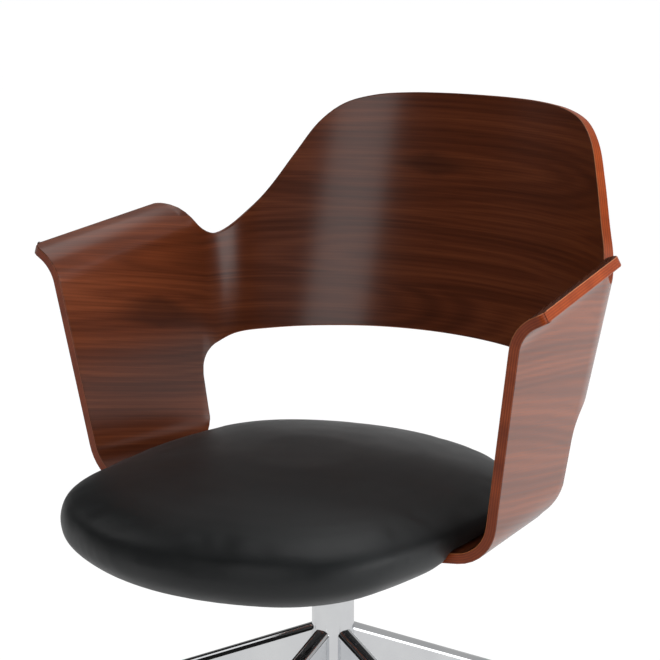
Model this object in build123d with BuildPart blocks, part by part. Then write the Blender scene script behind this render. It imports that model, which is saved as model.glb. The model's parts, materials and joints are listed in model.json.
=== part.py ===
from build123d import *
import os
from math import atan, cos, degrees, hypot, radians, sin, sqrt, tan

# Office chair: moulded plywood shell, round leather seat, gas lift and a five-leg base on casters.
# The column's axis is Z, the floor is z = 0 and the sitter faces -Y. Lengths are in millimetres.

# Plywood sheet of the shell
ply = 11.5
arm_half_width = 261.6
arm_width_height = 417.0
arm_lean = 0.157
arm_toe = 0.118
arm_front = -106.2
arm_front_rake = 0.092
arm_rear = 77.5
arm_rear_foot = 390.0
arm_rear_foot_radius = 22.0
arm_join = 105.0

# Lip rolled outwards along the top of each arm
lip_corner_height = 638.0
lip_rise = 0.129
lip_angle = 65.0
lip_reach = 30.0
lip_radius = 39.0
lip_front_corner = 9.0
lip_rear_end = 84.0
lip_rear_corner = 16.0

# Panel that runs under the seat from arm to arm
panel_bottom = 348.2
panel_flat_half = 110.0
panel_rear = 50.0
panel_turn_radius = 200.0
bend_corner_height = 371.0
bend_radius = 55.0

# Back band, leaning backwards
back_radius = 356.0
back_apex = 234.4
back_apex_height = 527.2
back_tilt = 0.257
back_corner_radius = 36.0
back_top = 801.0
back_top_drop = 8.0
back_top_radius = 1500.0
back_shoulder_half = 175.0
back_shoulder_radius = 60.0
back_waist_half = 234.2
waist_rise = 62.1
waist_rise_start = 0.356
waist_turn = 43.0
waist_lap = 14.0

# Notch between arm and back, and the opening below the band
notch_depth = 122.5
notch_height = 617.9
notch_radius = 26.0
notch_front_slope = 1.33
notch_rear_slope = 0.763
band_bottom = 517.5
band_bottom_slope = 0.12
band_bottom_depth = 229.0
opening_radius = 46.0

# Seat cushion
pad_half_width = 225.0
pad_front = -317.0
pad_rear = 176.0
pad_side_radius = 575.0
pad_front_radius = 316.0
pad_rear_radius = 271.0
pad_corner_radius = 138.0
pad_base = 347.0
pad_rim_height = 391.5
pad_crown_height = 436.5
pad_base_angle = 35.0
pad_base_forward = 26.5
pad_base_steps = 4
pad_dome_angle = 75.0
pad_dome_back = 20.5
pad_dome_steps = 8
soft_gap = 0.3

# Seat board inside the cushion
board_thickness = 12.0
board_share = 0.78
board_flat_half = 92.0
board_wing_slope = 11.0

# Seat plate: a flange under the shell with a channel for the lever and a hub for the gas lift
plate_length = 200.0
plate_depth = 96.0
plate_sheet = 3.0
plate_corner = 12.0
channel_half = 26.0
channel_depth = 30.0
hub_radius = 19.0
hub_height = 30.0
hub_above_floor_plate = 13.0

# Bolts through plate, shell and seat board
bolt_radius = 3.0
bolt_hole_gap = 0.3
bolt_span_x = 160.0
bolt_span_y = 72.0
bolt_head_radius = 5.0
bolt_head_height = 4.0
washer_radius = 8.0
washer_thickness = 1.5
nut_sleeve_radius = 4.6
nut_sleeve_wall = 1.5
nut_flange_radius = 9.0
nut_flange_thickness = 1.5

# Gas lift
running_gap = 0.05
tube_radius = 14.0
tube_wall = 1.7
tube_corner = 1.0
tube_bottom = 92.0
gland_height = 12.0
tube_plug_height = 45.0
rod_radius = 5.0
piston_height = 12.0
piston_below_plug = 14.0
bumper_radius = 11.0
bumper_height = 10.0
collar_radius = 9.0
collar_height = 3.0
bearing_radius = 12.0
bearing_height = 6.0
bearing_washer_height = 2.0
clip_radius = 9.0
clip_height = 2.5
seat_gap = 0.3
button_radius = 4.0
button_height = 13.0
button_proud = 7.0
button_travel = 5.0
button_pin_radius = 1.5
button_pin_length = 12.0

# Height lever
lever_pin_radius = 3.0
lever_pin_proud = 4.0
lever_pin_head_radius = 5.0
lever_pin_head = 2.0
lever_pivot = -60.0
lever_pivot_below_finger = 2.0
lever_hub_radius = 6.5
lever_hub_width = 24.0
finger_thickness = 5.0
finger_width = 12.0
finger_overhang = 3.0
lever_rod_radius = 4.0
lever_knee = -140.0
lever_end = -250.0
lever_end_drop = 12.0
lever_knee_radius = 40.0
grip_length = 58.0
grip_width = 28.0
grip_thickness = 13.0
grip_round = 5.0
grip_end_wall = 6.0

# Column of the base
column_radius = 24.25
column_wall = 2.0
column_top = 296.0
column_bottom = 66.0
column_floor = 3.0
bush_length = 46.0

# Legs of the base
leg_count = 5
star_turn = 0.6
leg_top_at_column = 217.3
leg_top_slope = 22.3
leg_bottom_at_column = 150.0
leg_bottom_at_tip = 80.0
leg_width = 20.0
leg_wall = 2.0
leg_round = 8.0
weld_gap = 0.05
socket_reach = 285.0
socket_radius = 13.0
socket_bottom = 71.0
socket_proud = 2.0
socket_top_wall = 5.0
socket_top_round = 4.0

# Casters
stem_radius = 5.5
stem_depth = 16.0
wheel_radius = 27.0
wheel_width = 18.0
wheel_round = 5.0
wheel_dish_radius = 17.0
wheel_dish_depth = 3.0
caster_trail = 21.0
axle_radius = 4.0
hood_web = 7.0
hood_gap = 1.0
hood_wall = 3.0
hood_lead_angle = 62.0
hood_tail_angle = 78.0
hood_boss_radius = 9.5
hood_top = 67.0

# A corner left sharp, as the smallest rounding the outlines take
sharp = 0.01

UPWARDS = (Align.CENTER, Align.CENTER, Align.MIN)
DOWNWARDS = (Align.CENTER, Align.CENTER, Align.MAX)

os.makedirs("parts", exist_ok=True)


def write(piece, name):
    """Label a finished piece and write it under its own name."""
    piece.label = name
    export_step(piece, f"parts/{name}.step")


# Shell: the sheet's outer face is drawn and thickened inwards

def arm_x(y, z):
    """Distance of an arm's outer face from the middle."""
    return arm_half_width + arm_lean * (z - arm_width_height) - arm_toe * y


def sling_path(y):
    """Outer face of the section from lip to lip, passing under the seat, at depth y."""
    lip_z = lip_corner_height + lip_rise * y
    lip_x = arm_x(y, lip_z)
    turn = radians(lip_angle)
    tip = (lip_x + lip_reach * sin(turn), lip_z + lip_reach * cos(turn))
    bend = (arm_x(y, bend_corner_height), bend_corner_height)
    half = [(panel_flat_half, panel_bottom), bend, (lip_x, lip_z), tip]
    return [(-x, z) for x, z in reversed(half)] + half


arm_skew = hypot(1, arm_toe)
wall = ply / cos(atan(arm_lean)) / arm_skew
wall_low = band_bottom - 2 * ply
wall_high = back_top + ply


def back_middle(z):
    """Depth of the centre of the back's arc at height z."""
    return back_apex + back_tilt * (z - back_apex_height) - back_radius


def wall_corner(z):
    """Centre of the wall's corner bend and of the back's arc at height z."""
    back_centre = back_middle(z)
    line_x = arm_x(0, z) - (wall + back_corner_radius) * arm_skew
    reach = back_radius - back_corner_radius
    square = arm_skew**2
    middle = arm_toe * line_x + back_centre
    rest = line_x**2 + back_centre**2 - reach**2
    corner_y = (middle + sqrt(middle**2 - square * rest)) / square
    return Vector(line_x - arm_toe * corner_y, corner_y), Vector(0, back_centre)


def wall_points(z, grown):
    """Right half of the wall's plan at height z: arm end, bend start, bend middle, bend end, apex."""
    corner, centre = wall_corner(z)
    to_arm = Vector(1, arm_toe).normalized()
    to_back = (corner - centre).normalized()
    bend = back_corner_radius + grown
    end = Vector(arm_x(arm_join, z) - (wall - grown) * arm_skew, arm_join)
    start = corner + to_arm * bend
    middle = corner + (to_arm + to_back).normalized() * bend
    finish = centre + to_back * (back_radius + grown)
    return end, start, middle, finish, centre + Vector(0, back_radius + grown)


def wall_curve(z, grown):
    """Plan of one face of the wall, drawn from the right arm round the back to the left arm."""
    end, start, middle, finish, apex = wall_points(z, grown)
    flip = lambda point: Vector(-point.X, point.Y)
    Line(end, start)
    ThreePointArc(start, middle, finish)
    ThreePointArc(finish, apex, flip(finish))
    ThreePointArc(flip(finish), flip(middle), flip(start))
    Line(flip(start), flip(end))
    return end, flip(end)


with BuildPart() as back_wall:
    for height in (wall_low, wall_high):
        with BuildSketch(Plane.XY.offset(height)):
            with BuildLine():
                inner_right, inner_left = wall_curve(height, 0)
                outer_right, outer_left = wall_curve(height, wall)
                Line(inner_right, outer_right)
                Line(inner_left, outer_left)
            make_face()
    loft(ruled=True)


def arm_front_at(z):
    """Depth of the arms' front edge at height z."""
    return arm_front - arm_front_rake * (z - arm_width_height)


shell_low = panel_bottom - ply
shell_high = back_top + 2 * ply
shell_reach = arm_half_width + back_top
back_limit = back_apex + back_radius
notch_limb = (notch_depth, notch_height)
notch_rear_height = notch_height + waist_rise_start * waist_rise
back_waist_height = notch_height + waist_rise
notch_front_end = notch_height + notch_front_slope * (notch_depth - lip_rear_end)
notch_rear_end = notch_depth + (notch_rear_height - notch_height) / notch_rear_slope
shoulder_height = back_top - back_top_drop

waist = radians(waist_turn)
waist_plane = Plane((0, 0, 0), x_dir=(-cos(waist), sin(waist), 0), z_dir=(sin(waist), cos(waist), 0))


def along_waist(x, y):
    """Place of a plan point along the sheet where the notch runs into the back's side."""
    return y * sin(waist) - x * cos(waist)


low_reach = notch_rear_end - back_middle(notch_rear_height)
low_along = along_waist(sqrt(back_radius**2 - low_reach**2), notch_rear_end)
high_depth = back_middle(back_waist_height) + sqrt(back_radius**2 - back_waist_half**2)
high_along = along_waist(back_waist_half, high_depth)
waist_slope = (back_waist_height - notch_rear_height) / (high_along - low_along)

# Square across the sheet, the cut that joins the notch to the back's sides
with BuildPart() as waist_cut:
    with BuildSketch(waist_plane):
        with BuildLine():
            Polyline(
                (low_along - waist_lap, notch_rear_height - waist_lap * notch_rear_slope * sin(waist)),
                (low_along, notch_rear_height),
                (high_along, back_waist_height),
                (high_along + waist_lap, back_waist_height + waist_lap * waist_slope),
                (high_along + waist_lap, shell_high),
                (low_along - 3 * waist_lap, shell_high),
                (low_along - 3 * waist_lap, notch_rear_height + 2 * waist_lap),
                close=True,
            )
        make_face()
    extrude(amount=back_limit)
    mirror(about=Plane.YZ)

with BuildPart() as shell:
    for depth in (arm_front_at(shell_high) - ply, arm_join):
        with BuildSketch(Plane.XZ.offset(-depth)):
            with BuildLine():
                turns = [lip_radius, bend_radius, panel_turn_radius]
                FilletPolyline(*sling_path(depth), radius=turns + turns[::-1])
                offset(amount=ply, side=Side.LEFT)
            make_face()
    loft(ruled=True)
    add(back_wall.part)
    # Side view: front edge, notch, band's lower edge, opening and the panel's rear edge
    with BuildSketch(Plane.YZ):
        with BuildLine():
            FilletPolyline(
                (arm_front_at(shell_high), shell_high),
                (lip_rear_end, shell_high),
                (lip_rear_end, notch_front_end),
                notch_limb,
                (notch_rear_end, notch_rear_height),
                (notch_rear_end, shell_high),
                radius=[sharp, lip_rear_corner, notch_radius, sharp],
            )
            FilletPolyline(
                (band_bottom_depth, band_bottom),
                (arm_rear, band_bottom - band_bottom_slope * (band_bottom_depth - arm_rear)),
                (arm_rear, arm_rear_foot),
                (panel_rear, arm_rear_foot),
                (panel_rear, shell_low),
                radius=[opening_radius, arm_rear_foot_radius, sharp],
            )
            Polyline((notch_rear_end, shell_high), (back_limit, shell_high))
            Polyline((back_limit, shell_high), (back_limit, band_bottom), (band_bottom_depth, band_bottom))
            Polyline(
                (panel_rear, shell_low),
                (arm_front_at(shell_low), shell_low),
                (arm_front_at(shell_high), shell_high),
            )
        make_face()
    extrude(amount=shell_reach, both=True, mode=Mode.INTERSECT)
    # Front view: shoulders and top edge of the back
    with BuildSketch(Plane.XZ.offset(-notch_depth)):
        with BuildLine():
            FilletPolyline(
                (back_waist_half, back_waist_height),
                (back_shoulder_half, shoulder_height),
                (0, back_top),
                (-back_shoulder_half, shoulder_height),
                (-back_waist_half, back_waist_height),
                radius=[back_shoulder_radius, back_top_radius, back_shoulder_radius],
            )
            Polyline(
                (-back_waist_half, back_waist_height),
                (-shell_reach, back_waist_height),
                (-shell_reach, shell_high),
                (shell_reach, shell_high),
                (shell_reach, back_waist_height),
                (back_waist_half, back_waist_height),
            )
        make_face()
    extrude(amount=-back_limit, mode=Mode.SUBTRACT)
    add(waist_cut.part, mode=Mode.SUBTRACT)
    # Rounded front corners of the lips
    lip_tip_x, lip_tip_z = sling_path(arm_front)[-1]
    for side in (-1, 1):
        tip = Vector(side * lip_tip_x, arm_front_at(lip_tip_z), lip_tip_z)
        fillet(shell.edges().sort_by_distance(tip)[0], radius=lip_front_corner)
    # Bolt holes down through the panel
    with Locations((0, 0, panel_bottom)):
        with GridLocations(bolt_span_x, bolt_span_y, 2, 2):
            Cylinder(
                bolt_radius + bolt_hole_gap,
                ply,
                align=UPWARDS,
                mode=Mode.SUBTRACT,
            )
write(shell.part, "shell")


# Seat cushion: outlines of eight arcs, stacked from the base over the rim to the crown

pad_middle = (pad_front + pad_rear) / 2
panel_top = panel_bottom + ply


def circles_meet(first, first_reach, second, second_reach):
    """Point left of the way from one centre to the other that lies at both reaches."""
    along = second - first
    step = (first_reach**2 - second_reach**2 + along.length**2) / (2 * along.length)
    rise = sqrt(first_reach**2 - step**2)
    ahead = along.normalized()
    return first + ahead * step + Vector(-ahead.Y, ahead.X) * rise


def pad_corner(end, end_radius):
    """Right-hand corner bend towards one end: its start on the side, its middle and its finish."""
    toward = 1 if end > pad_middle else -1
    side = Vector(pad_half_width - pad_side_radius, pad_middle)
    centre = Vector(0, end - toward * end_radius)
    side_reach = pad_side_radius - pad_corner_radius
    end_reach = end_radius - pad_corner_radius
    if toward > 0:
        bend = circles_meet(side, side_reach, centre, end_reach)
    else:
        bend = circles_meet(centre, end_reach, side, side_reach)
    from_side = (bend - side).normalized()
    from_end = (bend - centre).normalized()
    middle = bend + (from_side + from_end).normalized() * pad_corner_radius
    return side + from_side * pad_side_radius, middle, centre + from_end * end_radius


def pad_outline(share, back=0):
    """Draw the pad's plan, scaled about its middle and moved back."""
    depth = lambda point: pad_middle + back + share * (point.Y - pad_middle)
    at = lambda point, side=1: Vector(side * share * point.X, depth(point))
    front = pad_corner(pad_front, pad_front_radius)
    rear = pad_corner(pad_rear, pad_rear_radius)
    for side in (1, -1):
        for start, middle, finish in (front, rear):
            ThreePointArc(at(start, side), at(middle, side), at(finish, side))
        ThreePointArc(at(front[0], side), at(Vector(pad_half_width, pad_middle), side), at(rear[0], side))
    ThreePointArc(at(front[2]), at(Vector(0, pad_front)), at(front[2], -1))
    ThreePointArc(at(rear[2]), at(Vector(0, pad_rear)), at(rear[2], -1))


board_low = panel_top
wing_rise = (pad_half_width - board_flat_half) * tan(radians(board_wing_slope))
board_high = board_low + board_thickness + wing_rise


def board_section(grown):
    """Draw the board's cross section, with its top raised by the growth."""
    half = [(board_flat_half, board_low), (pad_half_width, board_low + wing_rise)]
    raised = [(x, z + board_thickness + grown) for x, z in reversed(half)]
    right = half + raised
    Polyline(*right, *[(-x, z) for x, z in reversed(right)], close=True)


def board_plan(grown):
    """Draw the board's plan, grown by a gap."""
    pad_outline(board_share + grown / pad_half_width)


with BuildPart() as seat_board:
    with BuildSketch(Plane.XZ):
        with BuildLine():
            board_section(0)
        make_face()
    extrude(amount=pad_rear - pad_front, both=True)
    with BuildSketch(Plane.XY.offset(board_low)):
        with BuildLine():
            board_plan(0)
        make_face()
    extrude(amount=board_high - board_low, mode=Mode.INTERSECT)
    with Locations((0, 0, board_low)):
        with GridLocations(bolt_span_x, bolt_span_y, 2, 2):
            Cylinder(
                nut_sleeve_radius + weld_gap,
                board_thickness,
                align=UPWARDS,
                mode=Mode.SUBTRACT,
            )
write(seat_board.part, "seat_board")

relief_front = arm_front_at(pad_rim_height) - soft_gap
relief_rear = panel_rear + soft_gap
relief_fill = ply / 2

# Space the shell takes up under the cushion
with BuildPart() as panel_relief:
    for depth in (relief_front, relief_rear):
        path = sling_path(depth)
        bend_x = path[-3][0]
        with BuildSketch(Plane.XZ.offset(-depth)):
            with BuildLine():
                turns = [lip_radius, bend_radius, panel_turn_radius]
                FilletPolyline(*path, radius=turns + turns[::-1])
                offset(amount=ply + soft_gap, side=Side.LEFT)
            make_face()
            with BuildLine():
                Polyline(
                    (-bend_x, shell_low),
                    (bend_x, shell_low),
                    (bend_x, bend_corner_height + relief_fill),
                    (panel_flat_half, panel_bottom + relief_fill),
                    (-panel_flat_half, panel_bottom + relief_fill),
                    (-bend_x, bend_corner_height + relief_fill),
                    close=True,
                )
            make_face()
    loft(ruled=True)

# Pocket the seat board takes up inside the cushion
with BuildPart() as board_pocket:
    with BuildSketch(Plane.XZ):
        with BuildLine():
            board_section(soft_gap)
        make_face()
        with BuildLine():
            Polyline(
                (-pad_half_width, board_low),
                (pad_half_width, board_low),
                (pad_half_width, board_low + wing_rise + relief_fill),
                (board_flat_half, board_low + relief_fill),
                (-board_flat_half, board_low + relief_fill),
                (-pad_half_width, board_low + wing_rise + relief_fill),
                close=True,
            )
        make_face()
    extrude(amount=pad_rear - pad_front, both=True)
    with BuildSketch(Plane.XY.offset(board_low)):
        with BuildLine():
            board_plan(soft_gap)
        make_face()
    extrude(amount=board_high + soft_gap - board_low, mode=Mode.INTERSECT)
    with Locations((0, 0, board_low)):
        with GridLocations(bolt_span_x, bolt_span_y, 2, 2):
            Cylinder(
                nut_flange_radius + soft_gap,
                board_thickness + nut_flange_thickness + soft_gap,
                align=UPWARDS,
            )

dome_rise = (pad_crown_height - pad_rim_height) / sin(radians(pad_dome_angle))
base_fall = (pad_rim_height - pad_base) / sin(radians(pad_base_angle))

with BuildPart() as seat_cushion:
    for step in range(pad_base_steps, 0, -1):
        way = step / pad_base_steps
        dip = radians(pad_base_angle * way)
        with BuildSketch(Plane.XY.offset(pad_rim_height - base_fall * sin(dip))):
            with BuildLine():
                pad_outline(cos(dip), -pad_base_forward * way)
            make_face()
    for step in range(pad_dome_steps + 1):
        climb = radians(pad_dome_angle * step / pad_dome_steps)
        with BuildSketch(Plane.XY.offset(pad_rim_height + dome_rise * sin(climb))):
            with BuildLine():
                pad_outline(cos(climb), pad_dome_back * (1 - cos(climb)))
            make_face()
    loft(ruled=True)
    add(panel_relief.part, mode=Mode.SUBTRACT)
    add(board_pocket.part, mode=Mode.SUBTRACT)
write(seat_cushion.part, "seat_cushion")


# Seat plate with its lever channel and hub

flange_bottom = panel_bottom - plate_sheet
channel_floor = flange_bottom - channel_depth
hub_top = channel_floor + plate_sheet + hub_above_floor_plate
hub_bottom = hub_top - hub_height
finger_bottom = hub_top + button_proud + seat_gap
pivot_height = finger_bottom - lever_pivot_below_finger

with BuildPart() as seat_plate:
    with BuildSketch(Plane.XY.offset(flange_bottom)):
        RectangleRounded(plate_length, plate_depth, plate_corner)
    extrude(amount=plate_sheet)
    with Locations((0, 0, channel_floor)):
        Box(plate_length, 2 * channel_half, channel_depth, align=UPWARDS)
    with Locations((0, 0, channel_floor + plate_sheet)):
        inner_width = 2 * (channel_half - plate_sheet)
        Box(plate_length, inner_width, channel_depth - plate_sheet, align=UPWARDS, mode=Mode.SUBTRACT)
    with Locations((0, 0, hub_bottom)):
        Cylinder(hub_radius, hub_height, align=UPWARDS)
        Cylinder(tube_radius + weld_gap, hub_height, align=UPWARDS, mode=Mode.SUBTRACT)
    with Locations((0, 0, flange_bottom)):
        with GridLocations(bolt_span_x, bolt_span_y, 2, 2):
            Cylinder(bolt_radius + bolt_hole_gap, plate_sheet, align=UPWARDS, mode=Mode.SUBTRACT)
    with Locations(Location((lever_pivot, 0, pivot_height), (90, 0, 0))):
        Cylinder(lever_pin_radius + weld_gap, 3 * channel_half, mode=Mode.SUBTRACT)
write(seat_plate.part, "seat_plate")

board_top = board_low + board_thickness
washer_bottom = flange_bottom - washer_thickness
sleeve_bore = nut_sleeve_radius - nut_sleeve_wall

with BuildPart() as bolt_washers:
    with Locations((0, 0, washer_bottom)):
        with GridLocations(bolt_span_x, bolt_span_y, 2, 2):
            Cylinder(washer_radius, washer_thickness, align=UPWARDS)
            Cylinder(bolt_radius + bolt_hole_gap, washer_thickness, align=UPWARDS, mode=Mode.SUBTRACT)
write(bolt_washers.part, "bolt_washers")

with BuildPart() as plate_bolts:
    with Locations((0, 0, washer_bottom)):
        with GridLocations(bolt_span_x, bolt_span_y, 2, 2):
            Cylinder(bolt_radius, board_top - washer_bottom, align=UPWARDS)
            Cylinder(bolt_head_radius, bolt_head_height, align=DOWNWARDS)
write(plate_bolts.part, "plate_bolts")

with BuildPart() as bolt_nuts:
    with Locations((0, 0, board_low)):
        with GridLocations(bolt_span_x, bolt_span_y, 2, 2):
            Cylinder(nut_sleeve_radius, board_thickness, align=UPWARDS)
    with Locations((0, 0, board_top)):
        with GridLocations(bolt_span_x, bolt_span_y, 2, 2):
            Cylinder(nut_flange_radius, nut_flange_thickness, align=UPWARDS)
    with Locations((0, 0, board_low)):
        with GridLocations(bolt_span_x, bolt_span_y, 2, 2):
            bore_height = board_thickness + nut_flange_thickness
            Cylinder(sleeve_bore, bore_height, align=UPWARDS, mode=Mode.SUBTRACT)
write(bolt_nuts.part, "bolt_nuts")


# Height lever with its grip and pin

lever_end_height = pivot_height - lever_end_drop

with BuildPart() as height_lever:
    with BuildLine() as lever_line:
        FilletPolyline(
            (lever_pivot, 0, pivot_height),
            (lever_knee, 0, pivot_height),
            (lever_end, 0, lever_end_height),
            radius=lever_knee_radius,
        )
    with BuildSketch(Plane.YZ.offset(lever_pivot)):
        with Locations((0, pivot_height)):
            Circle(lever_rod_radius)
    sweep(path=lever_line.line)
    with Locations(Location((lever_pivot, 0, pivot_height), (90, 0, 0))):
        Cylinder(lever_hub_radius, lever_hub_width)
    with Locations((lever_pivot, 0, finger_bottom)):
        finger_length = finger_overhang - lever_pivot
        Box(finger_length, finger_width, finger_thickness, align=(Align.MIN, Align.CENTER, Align.MIN))
    with Locations(Location((lever_pivot, 0, pivot_height), (90, 0, 0))):
        Cylinder(lever_pin_radius + running_gap, lever_hub_width, mode=Mode.SUBTRACT)
write(height_lever.part, "height_lever")

rod_slope = atan(lever_end_drop / (lever_knee - lever_end))
grip_middle = lever_end - grip_end_wall + grip_length / 2
grip_height = pivot_height - (lever_knee - grip_middle) * tan(rod_slope)
grip_place = Location((grip_middle, 0, grip_height), (0, -degrees(rod_slope), 0))

with BuildPart() as lever_grip:
    with Locations(grip_place):
        Box(grip_length, grip_width, grip_thickness)
    fillet(lever_grip.edges(), radius=grip_round)
    with Locations(grip_place):
        with Locations(Location((grip_end_wall - seat_gap, 0, 0), (0, 90, 0))):
            Cylinder(lever_rod_radius + weld_gap, grip_length, mode=Mode.SUBTRACT)
write(lever_grip.part, "lever_grip")

pin_length = 2 * channel_half + lever_pin_proud

with BuildPart() as lever_pin:
    with Locations(Location((lever_pivot, -channel_half, pivot_height), (-90, 0, 0))):
        Cylinder(lever_pin_radius, pin_length, align=UPWARDS)
        Cylinder(lever_pin_head_radius, lever_pin_head, align=DOWNWARDS)
write(lever_pin.part, "lever_pin")


# Gas lift

plug_bottom = hub_top - tube_plug_height
tube_bore = tube_radius - tube_wall
button_bottom = hub_top + button_proud - button_height
button_room = button_bottom - button_travel - seat_gap
floor_top = column_bottom + column_floor
washer_top = floor_top + bearing_washer_height
bearing_top = washer_top + bearing_height
collar_bottom = bearing_top + seat_gap
collar_top = collar_bottom + collar_height
clip_top = column_bottom - seat_gap
clip_bottom = clip_top - clip_height
rod_bottom = clip_bottom - clip_height / 2
piston_top = plug_bottom - piston_below_plug
piston_bottom = piston_top - piston_height

with BuildPart() as pressure_tube:
    with Locations((0, 0, tube_bottom)):
        Cylinder(tube_radius, hub_top - tube_bottom, align=UPWARDS)
    chamfer(pressure_tube.edges().sort_by(Axis.Z)[0], length=tube_corner)
    with Locations((0, 0, tube_bottom + gland_height)):
        Cylinder(tube_bore, plug_bottom - tube_bottom - gland_height, align=UPWARDS, mode=Mode.SUBTRACT)
    with Locations((0, 0, tube_bottom)):
        Cylinder(rod_radius + running_gap, gland_height, align=UPWARDS, mode=Mode.SUBTRACT)
    with Locations((0, 0, button_room)):
        Cylinder(button_radius + running_gap, hub_top - button_room, align=UPWARDS, mode=Mode.SUBTRACT)
    with Locations((0, 0, plug_bottom)):
        pin_bore = button_pin_radius + seat_gap
        Cylinder(pin_bore, button_room - plug_bottom, align=UPWARDS, mode=Mode.SUBTRACT)
write(pressure_tube.part, "pressure_tube")

with BuildPart() as valve_button:
    with Locations((0, 0, button_bottom)):
        Cylinder(button_radius, button_height, align=UPWARDS)
        Cylinder(button_pin_radius, button_pin_length, align=DOWNWARDS)
write(valve_button.part, "valve_button")

with BuildPart() as piston_rod:
    with Locations((0, 0, rod_bottom)):
        Cylinder(rod_radius, piston_top + piston_height / 2 - rod_bottom, align=UPWARDS)
    with Locations((0, 0, collar_bottom)):
        Cylinder(collar_radius, collar_height, align=UPWARDS)
write(piston_rod.part, "piston_rod")

with BuildPart() as piston:
    with Locations((0, 0, piston_bottom)):
        Cylinder(tube_bore - running_gap, piston_height, align=UPWARDS)
        Cylinder(rod_radius + weld_gap, piston_height, align=UPWARDS, mode=Mode.SUBTRACT)
write(piston.part, "piston")

with BuildPart() as lift_bumper:
    with Locations((0, 0, collar_top)):
        Cylinder(bumper_radius, bumper_height, align=UPWARDS)
        Cylinder(rod_radius + weld_gap, bumper_height, align=UPWARDS, mode=Mode.SUBTRACT)
write(lift_bumper.part, "lift_bumper")

with BuildPart() as thrust_bearing:
    with Locations((0, 0, washer_top)):
        Cylinder(bearing_radius, bearing_height, align=UPWARDS)
        Cylinder(rod_radius + seat_gap, bearing_height, align=UPWARDS, mode=Mode.SUBTRACT)
write(thrust_bearing.part, "thrust_bearing")

with BuildPart() as bearing_washer:
    with Locations((0, 0, floor_top)):
        Cylinder(bearing_radius, bearing_washer_height, align=UPWARDS)
        Cylinder(rod_radius + seat_gap, bearing_washer_height, align=UPWARDS, mode=Mode.SUBTRACT)
write(bearing_washer.part, "bearing_washer")

with BuildPart() as retaining_clip:
    with Locations((0, 0, clip_bottom)):
        Cylinder(clip_radius, clip_height, align=UPWARDS)
        Cylinder(rod_radius + weld_gap, clip_height, align=UPWARDS, mode=Mode.SUBTRACT)
write(retaining_clip.part, "retaining_clip")


# Column of the base

column_bore = column_radius - column_wall

with BuildPart() as column:
    with Locations((0, 0, column_bottom)):
        Cylinder(column_radius, column_top - column_bottom, align=UPWARDS)
        Cylinder(rod_radius + running_gap, column_floor, align=UPWARDS, mode=Mode.SUBTRACT)
    with Locations((0, 0, floor_top)):
        Cylinder(column_bore, column_top - floor_top, align=UPWARDS, mode=Mode.SUBTRACT)
write(column.part, "column")

with BuildPart() as guide_bush:
    with Locations((0, 0, column_top)):
        Cylinder(column_bore - weld_gap, bush_length, align=DOWNWARDS)
        Cylinder(tube_radius + running_gap, bush_length, align=DOWNWARDS, mode=Mode.SUBTRACT)
write(guide_bush.part, "guide_bush")


# Legs: blades of folded sheet, open below, and the caster sockets at their ends

leg_fall = tan(radians(leg_top_slope))
leg_rise = (leg_bottom_at_column - leg_bottom_at_tip) / (socket_reach - column_radius)
leg_axis_top = leg_top_at_column + leg_fall * column_radius
leg_axis_bottom = leg_bottom_at_column + leg_rise * column_radius
leg_tip_top = leg_axis_top - leg_fall * socket_reach
socket_top = leg_tip_top + socket_proud
top_skin = leg_wall * hypot(1, leg_fall)


def long_top_edges(piece):
    """The two long edges along the top of a blade."""
    long_edges = piece.edges().filter_by(lambda edge: edge.length > socket_reach)
    return long_edges.sort_by(lambda edge: edge.center().Z)[-2:]


with BuildPart() as leg_hollow:
    with BuildSketch(Plane.XZ):
        with BuildLine():
            Polyline(
                (0, 0),
                (socket_reach, 0),
                (socket_reach, leg_tip_top - top_skin),
                (0, leg_axis_top - top_skin),
                close=True,
            )
        make_face()
    extrude(amount=leg_width / 2 - leg_wall, both=True)
    fillet(long_top_edges(leg_hollow), radius=leg_round - leg_wall)

with BuildPart() as leg:
    with BuildSketch(Plane.XZ):
        with BuildLine():
            Polyline(
                (0, leg_axis_bottom),
                (socket_reach, leg_bottom_at_tip),
                (socket_reach, leg_tip_top),
                (0, leg_axis_top),
                close=True,
            )
        make_face()
    extrude(amount=leg_width / 2, both=True)
    fillet(long_top_edges(leg), radius=leg_round)
    add(leg_hollow.part, mode=Mode.SUBTRACT)
    Cylinder(column_radius + weld_gap, 2 * leg_axis_top, mode=Mode.SUBTRACT)
    with Locations((socket_reach, 0)):
        Cylinder(socket_radius + weld_gap, 2 * leg_axis_top, mode=Mode.SUBTRACT)

with BuildPart() as caster_socket:
    with Locations((socket_reach, 0, socket_bottom)):
        Cylinder(socket_radius, socket_top - socket_bottom, align=UPWARDS)
    fillet(caster_socket.edges().sort_by(Axis.Z)[-1], radius=socket_top_round)
    with Locations((socket_reach, 0, socket_bottom)):
        bore_depth = socket_top - socket_top_wall - socket_bottom
        Cylinder(stem_radius + running_gap, bore_depth, align=UPWARDS, mode=Mode.SUBTRACT)


# Caster: stem, hood, axle and two wheels, drawn about the stem's axis with the axle trailing

hood_half = hood_web / 2
wheel_near = hood_half + hood_gap / 2
wheel_far = wheel_near + wheel_width
hood_bore = wheel_radius + hood_gap
hood_reach = hood_bore + hood_wall
stem_top = socket_top - socket_top_wall - seat_gap
axle_place = Location((0, caster_trail, wheel_radius), (0, 90, 0))

with BuildPart() as wheel_room:
    with Locations(axle_place):
        Cylinder(hood_bore, 3 * wheel_far)
        Cylinder(hood_bore, hood_web, mode=Mode.SUBTRACT)

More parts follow.
